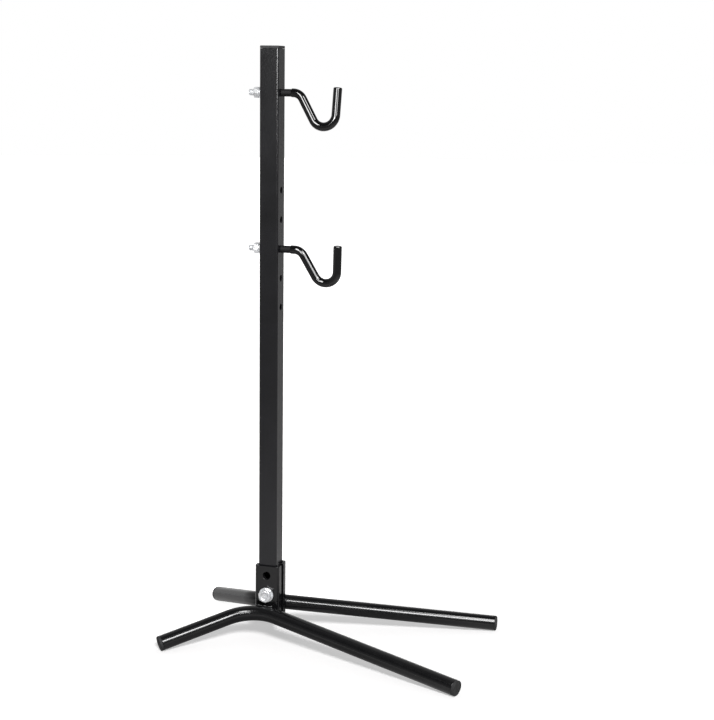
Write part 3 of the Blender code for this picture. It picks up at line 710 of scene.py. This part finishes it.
dish = [(radius, BOLT_HEAD - depth) for radius, depth in BOLT_DISH]
head = hexagon("base_bolt_head", BOLT_HEX, BOLT_HEAD, dish)
break_edges(head, BOLT_HEAD_EDGE, sharp=28.0, segments=2)
shank_outline = ((0.0, SHANK_IN_HEAD), (BOLT_RADIUS, SHANK_IN_HEAD),
                 (BOLT_RADIUS, plain_end + SHANK_TAPER_START),
                 (BOLT_RADIUS - SHANK_TAPER, plain_end - SHANK_IN_THREAD),
                 (0.0, plain_end - SHANK_IN_THREAD))
shank = turned("base_bolt_shank", shank_outline, THREAD_SIDES)
thread = threaded("base_bolt_thread", BOLT_RADIUS, BOLT_PITCH, BOLT_THREAD, BOLT_CHAMFER)
thread.data.transform(Matrix.Translation((0.0, 0.0, plain_end)))
bolt = joined("base_hex_bolt", [head, shank, thread])

# The last two values of each row say how far behind the post's middle the piece's height zero
# comes, and how far the piece is rolled about the bolt, in degrees.
BASE_STACK = (
    (bolt, "base_bolt", -head_seat, 10),
    (washer("base_front_flat_washer", BOLT_BORE, BOLT_WASHER_RADIUS, BOLT_WASHER), "base_bolt_washer",
     -bracket_face - GAP, 0),
    (washer("base_rear_flat_washer", BOLT_BORE, BOLT_WASHER_RADIUS, BOLT_WASHER), "base_nut_washer",
     bracket_face + BOLT_WASHER + GAP, 0),
    (spring_washer("base_split_washer", BOLT_BORE, BOLT_LOCK_RADIUS, BOLT_LOCK), "base_spring_washer",
     lock_seat, 40),
    (nut("base_hex_nut", BOLT_HEX, BOLT_NUT, BOLT_BORE), "base_nut", nut_end, 23),
)
for piece, node, place, roll in BASE_STACK:
    where_to = Matrix.Translation((POST_X, place, BOLT_HOLE_HEIGHTS[0]))
    piece.data.transform(where_to @ TO_FRONT @ Matrix.Rotation(math.radians(roll), 4, "Z"))
    finish_with(piece, zinc)
    belongs(piece, node, "stand")


# Hooks: a 9.5 mm steel rod, turned down and threaded M8 where it goes through the post, painted,
# and bent twice to a cradle. The cradle is dipped in thick black vinyl, which closes over the tip.
# A flat washer, a split washer and a nut hold it on the far side of the post.
HOOK_SEAT = POST_WIDTH / 2 + GAP
ROD_RADIUS = 0.00475
ROD_SIDES = 64
ROD_EDGE = 0.0006
STEM_RADIUS = 0.0040
STEM_BORE = STEM_RADIUS + GAP
STEM_END = -0.0309
STEM_THREAD = 0.0258
STEM_PITCH = 0.00125
STEM_CHAMFER = 0.0008
NECK_IN_ROD = 0.0005
NECK_IN_THREAD = 0.0004
SLEEVE_RADIUS = 0.0056
SLEEVE_BORE = 0.00505
SLEEVE_START = 0.0266
SLEEVE_SIDES = 96
SLEEVE_EDGE = 0.00025
SHOULDER_X = 0.0382
SHOULDER_BEND = 0.0144
SHOULDER_STEPS = 24
SLOPE = math.radians(59.9)
TIP_X = 0.0886
TIP_RISE = 0.0077
TIP_LEAN = math.radians(1.9)
TIP_ROUND = 0.0017
CRADLE_BEND = 0.0159
CRADLE_STEPS = 48
HOOK_NUT = (0.0130, 0.0065)
HOOK_WASHER = (0.0080, 0.0016)
HOOK_LOCK = (0.0070, 0.0020)
TO_LEFT = Matrix.Rotation(math.radians(90), 4, "Y")

# Dipped vinyl: soft PVC that runs smooth as it cures, so it shines like wet paint over a slow
# wave about 7 mm long, with faint sags and a few fine rub marks.
vinyl = bpy.data.materials.new("dipped_vinyl")
vinyl.use_nodes = True
tree = vinyl.node_tree
skin = tree.nodes["Principled BSDF"]
skin.inputs["IOR"].default_value = 1.53
where = add(tree, "TexCoord").outputs["Object"]
sag = add(tree, "TexNoise", {"Scale": 140.0, "Detail": 1.0, "Roughness": 0.4}, {"Vector": where})
rub = add(tree, "TexNoise", {"Scale": 600.0, "Detail": 5.0, "Roughness": 0.7}, {"Vector": where})
cloud = add(tree, "TexNoise", {"Scale": 60.0, "Detail": 3.0, "Roughness": 0.5}, {"Vector": where})
patch = add(tree, "MapRange", {"From Min": 0.3, "From Max": 0.7}, {"Value": cloud.outputs["Fac"]})
shade = add(tree, "Mix", {6: linear("080809"), 7: linear("0e0e0f")}, {0: patch.outputs["Result"]},
            data_type="RGBA")
gloss = add(tree, "MapRange", {"From Min": 0.35, "From Max": 0.75, "To Min": 0.05, "To Max": 0.09},
            {"Value": rub.outputs["Fac"]})
wave = add(tree, "Bump", {"Strength": 0.6, "Distance": 0.00004}, {"Height": sag.outputs["Fac"]})
tree.links.new(shade.outputs[2], skin.inputs["Base Color"])
tree.links.new(gloss.outputs["Result"], skin.inputs["Roughness"])
tree.links.new(wave.outputs["Normal"], skin.inputs["Normal"])

# Electrocoat: the thin matt black film that the whole rod gets before its cradle is dipped. It is
# even all over, with a fine dry grain, and shows no sharp highlight beside the shiny vinyl.
primer = bpy.data.materials.new("matt_black_electrocoat")
primer.use_nodes = True
tree = primer.node_tree
film = tree.nodes["Principled BSDF"]
film.inputs["IOR"].default_value = 1.5
film.inputs["Specular IOR Level"].default_value = 0.15
where = add(tree, "TexCoord").outputs["Object"]
grain = add(tree, "TexNoise", {"Scale": 1500.0, "Detail": 3.0, "Roughness": 0.6}, {"Vector": where})
cloud = add(tree, "TexNoise", {"Scale": 90.0, "Detail": 4.0, "Roughness": 0.55}, {"Vector": where})
patch = add(tree, "MapRange", {"From Min": 0.3, "From Max": 0.7}, {"Value": cloud.outputs["Fac"]})
shade = add(tree, "Mix", {6: linear("0e0e10"), 7: linear("161617")}, {0: patch.outputs["Result"]},
            data_type="RGBA")
gloss = add(tree, "MapRange", {"To Min": 0.60, "To Max": 0.68}, {"Value": patch.outputs["Result"]})
grit = add(tree, "Bump", {"Strength": 0.6, "Distance": 0.000010}, {"Height": grain.outputs["Fac"]})
tree.links.new(shade.outputs[2], film.inputs["Base Color"])
tree.links.new(gloss.outputs["Result"], film.inputs["Roughness"])
tree.links.new(grit.outputs["Normal"], film.inputs["Normal"])


def hook_line(shift):
    """The corners of the hook's centre line, its tip and the direction back from the tip."""
    shoulder = Vector((SHOULDER_X + shift, 0.0, 0.0))
    tip = Vector((TIP_X + shift, 0.0, TIP_RISE))
    slope = Vector((math.cos(SLOPE), 0.0, -math.sin(SLOPE)))
    fall = Vector((-math.sin(TIP_LEAN), 0.0, -math.cos(TIP_LEAN)))
    across = tip - shoulder
    reach = (across.x * fall.z - across.z * fall.x) / (slope.x * fall.z - slope.z * fall.x)
    return shoulder, shoulder + slope * reach, tip, fall


# Each hook gives the height of its hole, how far it is turned about its stem, in degrees, and how
# far its bends are moved out from the post.
HOOKS = (
    ("upper", HOOK_HOLE_HEIGHTS[5], -6.15, -0.0013),
    ("lower", HOOK_HOLE_HEIGHTS[2], 3.3, 0.0013),
)
for label, height, turn, shift in HOOKS:
    shoulder, low, tip, fall = hook_line(shift)
    bends = [(shoulder, SHOULDER_BEND, SHOULDER_STEPS), (low, CRADLE_BEND, CRADLE_STEPS)]
    rod = bent_bar(label + "_rod", ROD_RADIUS, ROD_SIDES, Vector((HOOK_SEAT, 0.0, 0.0)), bends,
                   tip + fall * (SLEEVE_RADIUS - ROD_RADIUS))
    break_edges(rod, ROD_EDGE)
    rod.data.materials.append(primer)
    stem = threaded(label + "_stem_thread", STEM_RADIUS, STEM_PITCH, STEM_THREAD, STEM_CHAMFER)
    stem.data.transform(TO_LEFT @ Matrix.Translation((0.0, 0.0, STEM_END + STEM_THREAD)))
    finish_with(stem, zinc)
    neck_start = HOOK_SEAT + NECK_IN_ROD
    neck_end = STEM_END + STEM_THREAD - NECK_IN_THREAD
    neck = turned(label + "_neck", ((0.0, neck_start), (STEM_RADIUS, neck_start),
                                    (STEM_RADIUS, neck_end), (0.0, neck_end)), THREAD_SIDES)
    neck.data.transform(TO_LEFT)
    finish_with(neck, primer)
    rod = joined(label + "_hook_bent_rod", [rod, stem, neck])

    sleeve = bent_bar(label + "_hook_vinyl_sleeve", SLEEVE_RADIUS, SLEEVE_SIDES,
                      Vector((SLEEVE_START, 0.0, 0.0)), bends, tip + fall * TIP_ROUND)
    edit(sleeve, "FACE", lambda face: is_end(face) and face.calc_center_median().x > shoulder.x)
    risen = 0.0
    for step in range(1, ROUND_STEPS + 1):
        angle = math.radians(ROUND_STEP * step)
        last = angle - math.radians(ROUND_STEP)
        rise = TIP_ROUND * (math.sin(angle) - math.sin(last))
        radius = SLEEVE_RADIUS - TIP_ROUND * (1 - math.cos(angle))
        before = SLEEVE_RADIUS - TIP_ROUND * (1 - math.cos(last))
        risen += rise
        middle = tip + fall * (TIP_ROUND - risen)
        bpy.ops.mesh.extrude_region_move(TRANSFORM_OT_translate={"value": -fall * rise})
        bpy.ops.transform.resize(value=(radius / before,) * 3, center_override=middle)
    hollow(sleeve, SLEEVE_RADIUS - SLEEVE_BORE,
           lambda face: is_end(face) and face.calc_center_median().x < shoulder.x)
    break_edges(sleeve, SLEEVE_EDGE, sharp=60.0)
    sleeve.data.materials.append(vinyl)

    depth = -HOOK_SEAT
    flat = washer(label + "_hook_flat_washer", STEM_BORE, *HOOK_WASHER)
    lock = spring_washer(label + "_hook_split_washer", STEM_BORE, *HOOK_LOCK)
    hex_nut = nut(label + "_hook_hex_nut", *HOOK_NUT, STEM_BORE)
    for piece, thickness, roll in ((flat, HOOK_WASHER[1], 0), (lock, HOOK_LOCK[1] + GAP, 70),
                                   (hex_nut, HOOK_NUT[1] + GAP, 11)):
        depth -= thickness
        piece.data.transform(Matrix.Translation((depth, 0.0, 0.0)) @ TO_LEFT
                             @ Matrix.Rotation(math.radians(roll), 4, "Z"))
        finish_with(piece, zinc)

    swung = Matrix.Translation((POST_X, 0.0, height)) @ Matrix.Rotation(math.radians(turn), 4, "X")
    for piece, node, slot in ((rod, "rod", "gloss_painted_steel"), (sleeve, "sleeve", "black_vinyl"),
                              (flat, "washer", "zinc_plated_steel"),
                              (lock, "spring_washer", "zinc_plated_steel"),
                              (hex_nut, "nut", "zinc_plated_steel")):
        piece.data.transform(swung)
        belongs(piece, f"{label}_hook_{node}", f"{label}_hook")


# Studio: a pale paper floor that runs out to white, soft fill light, a broad key light that throws
# the shadows back under the legs, and five softboxes, seen only in gloss, that draw the streaks. In
# gloss the paper's colour is scaled by where it lies: painted light makes it brightest behind the
# stand, and painted shade dims it under the stand and far in front of it.
FLOOR_RADIUS = 12.0
FLOOR_DROP = 0.0002
LEFT_BACK = (-0.731, 0.682, 0.0)
bpy.ops.object.select_all(action="DESELECT")
bpy.ops.mesh.primitive_circle_add(vertices=128, radius=FLOOR_RADIUS, fill_type="NGON",
                                  location=(0.0, 0.0, -FLOOR_DROP))
floor = started("floor")

paper = bpy.data.materials.new("white_paper")
paper.use_nodes = True
tree = paper.node_tree
tree.nodes.remove(tree.nodes["Principled BSDF"])
rays = add(tree, "LightPath")
where = add(tree, "TexCoord").outputs["Object"]
fibre = add(tree, "TexNoise", {"Scale": 60.0, "Detail": 4.0}, {"Vector": where})
shade = add(tree, "Mix", {6: linear("dcdbdb"), 7: linear("dfdede")}, {0: fibre.outputs["Fac"]},
            data_type="RGBA")
away = add(tree, "VectorMath", links={0: where}, operation="LENGTH").outputs["Value"]
ray = add(tree, "VectorMath", links={0: where}, operation="NORMALIZE").outputs["Vector"]
bearing = add(tree, "VectorMath", {1: LEFT_BACK}, {0: ray}, operation="DOT_PRODUCT").outputs["Value"]
# Painted shade and painted light on the paper, seen only in gloss: its colour is darker close under the stand
# and far in front of it, and brighter behind it.
under = add(tree, "MapRange", {"From Min": 0.10, "From Max": 0.22, "To Min": 0.45}, {"Value": away})
painted_shade_far = add(tree, "MapRange", {"From Min": 0.5, "From Max": 1.5, "To Min": 1.0, "To Max": 0.42},
              {"Value": away})
right = add(tree, "MapRange", {"From Min": -0.2, "From Max": 0.35}, {"Value": bearing})
behind = add(tree, "MapRange", {"From Min": 0.50, "From Max": 0.75}, {"Value": bearing},
             interpolation_type="SMOOTHSTEP")
level = add(tree, "Mix", {3: 0.60}, {0: right.outputs["Result"], 2: painted_shade_far.outputs["Result"]})
level = add(tree, "Mix", {3: 1.3}, {0: behind.outputs["Result"], 2: level.outputs[0]})
level = add(tree, "Math", links={0: level.outputs[0], 1: under.outputs["Result"]}, operation="MULTIPLY")
# Only glossy rays see this painted light and shade; other rays see the paper's plain colour.
level = add(tree, "Mix", {2: 1.0}, {0: rays.outputs["Is Glossy Ray"], 3: level.outputs[0]})
colour = add(tree, "VectorMath", links={0: shade.outputs[2], "Scale": level.outputs[0]}, operation="SCALE")
lit = add(tree, "BsdfDiffuse", links={"Color": colour.outputs["Vector"]})
seen = add(tree, "Math", links={0: rays.outputs["Is Camera Ray"], 1: rays.outputs["Is Transmission Ray"]},
           operation="MAXIMUM")
back = add(tree, "VectorMath", {1: LEFT_BACK}, {0: where}, operation="DOT_PRODUCT").outputs["Value"]
far = add(tree, "MapRange", {"From Min": 0.30, "From Max": 0.9, "To Min": 0.40, "To Max": 0.90},
          {"Value": away})
lift = add(tree, "MapRange", {"From Min": 0.11, "From Max": 0.17, "To Max": 0.90},
           {"Value": back, "To Min": far.outputs["Result"]}, interpolation_type="SMOOTHSTEP")
lift = add(tree, "Math", links={0: lift.outputs["Result"], 1: seen.outputs[0]}, operation="MULTIPLY")
white = add(tree, "Emission", {"Color": (1.0, 1.0, 1.0, 1.0)}, {"Strength": lift.outputs[0]})
both = add(tree, "AddShader", links={0: lit.outputs[0], 1: white.outputs[0]})
tree.links.new(both.outputs[0], tree.nodes["Material Output"].inputs["Surface"])
floor.data.materials.append(paper)

world = bpy.data.worlds.new("studio")
bpy.context.scene.world = world
world.use_nodes = True
tree = world.node_tree
rays = add(tree, "LightPath")
way = add(tree, "TexCoord").outputs["Generated"]
height = add(tree, "SeparateXYZ", links={0: way}).outputs["Z"]
bearing = add(tree, "VectorMath", {1: LEFT_BACK}, {0: way}, operation="DOT_PRODUCT").outputs["Value"]
fill = add(tree, "MapRange", {"From Min": -1.0, "From Max": 1.0, "To Min": 0.20, "To Max": 0.36},
           {"Value": bearing})
around = add(tree, "MapRange", {"From Min": 0.42, "From Max": 0.76, "To Min": 0.28, "To Max": 1.0},
             {"Value": bearing}, interpolation_type="SMOOTHSTEP")
above = add(tree, "MapRange", {"From Min": 0.1, "From Max": 0.6, "To Min": 0.06, "To Max": 0.42},
            {"Value": bearing}, interpolation_type="SMOOTHSTEP")
rise = add(tree, "MapRange", {"From Min": 0.10, "From Max": 0.55}, {"Value": height},
           interpolation_type="SMOOTHSTEP")
gloss = add(tree, "Mix", links={0: rise.outputs["Result"], 2: around.outputs["Result"],
                                3: above.outputs["Result"]})
level = add(tree, "Mix", links={0: rays.outputs["Is Glossy Ray"], 2: fill.outputs["Result"],
                                3: gloss.outputs[0]})
seen = add(tree, "Math", links={0: rays.outputs["Is Camera Ray"], 1: rays.outputs["Is Transmission Ray"]},
           operation="MAXIMUM")
level = add(tree, "Mix", {3: 1.0}, {0: seen.outputs[0], 2: level.outputs[0]})
backdrop = tree.nodes["Background"]
backdrop.inputs["Color"].default_value = (1.0, 1.0, 1.0, 1.0)
tree.links.new(level.outputs[0], backdrop.inputs["Strength"])

# Each softbox gives the direction that it stands in, seen from the post and counted from behind
# the stand towards its right, then its distance, its height and the height on the post that it
# faces, its size and how bright it looks.
SOFTBOXES = (
    ("camera_softbox", 147, 1.50, 1.38, 0.40, 1.00, 0.28, 26.0),
    ("right_softbox", 121, 1.30, 1.475, 0.40, 0.34, 0.95, 22.0),
    ("low_softbox", 141, 1.30, 0.96, 0.40, 0.38, 0.36, 13.0),
    ("edge_softbox", 174, 1.30, 0.78, 0.40, 0.40, 0.09, 38.0),
    ("left_softbox", 180, 0.80, 1.085, 1.085, 0.27, 0.62, 22.0),
)
for name, turn, distance, height, aim, wide, tall, radiance in SOFTBOXES:
    lamp = bpy.data.lights.new(name, "AREA")
    lamp.shape = "RECTANGLE"
    lamp.size = wide
    lamp.size_y = tall
    lamp.energy = radiance * math.pi * wide * tall
    holder = bpy.data.objects.new(name, lamp)
    bpy.context.scene.collection.objects.link(holder)
    angle = math.radians(turn)
    place = Vector((POST_X + distance * math.sin(angle), distance * math.cos(angle), height))
    holder.location = place
    holder.rotation_euler = (Vector((POST_X, 0.0, aim)) - place).to_track_quat("-Z", "Y").to_euler()
    holder.visible_camera = False
    holder.visible_diffuse = False

# The key light's direction is counted as the softboxes' are, and its height above the floor and
# its spread are in degrees too.
KEY_TURN = 150
KEY_HEIGHT = 38
KEY_SPREAD = 12
KEY_STRENGTH = 3.15
key = bpy.data.lights.new("key_light", "SUN")
key.energy = KEY_STRENGTH
key.angle = math.radians(KEY_SPREAD)
holder = bpy.data.objects.new("key_light", key)
bpy.context.scene.collection.objects.link(holder)
holder.rotation_euler = (math.radians(90 - KEY_HEIGHT), 0.0, math.radians(180 - KEY_TURN))
holder.visible_glossy = False

# The camera stands in front of the stand and to its right, 0.75 m up, and looks slightly down.
CAMERA_PLACE = (POST_X + 0.66278, -1.79814, 0.74991)
CAMERA_TURN = 16.86
CAMERA_TILT = 10.842
CAMERA_ROLL = 0.838
lens = bpy.data.cameras.new("camera")
lens.sensor_width = 36.0
lens.lens = 73.93
lens.clip_end = 50.0
camera = bpy.data.objects.new("camera", lens)
bpy.context.scene.collection.objects.link(camera)
camera.matrix_world = (Matrix.Translation(CAMERA_PLACE)
                       @ Matrix.Rotation(math.radians(CAMERA_TURN), 4, "Z")
                       @ Matrix.Rotation(math.radians(90 - CAMERA_TILT), 4, "X")
                       @ Matrix.Rotation(math.radians(CAMERA_ROLL), 4, "Z"))
bpy.context.scene.camera = camera
bpy.context.scene.view_settings.view_transform = "Standard"
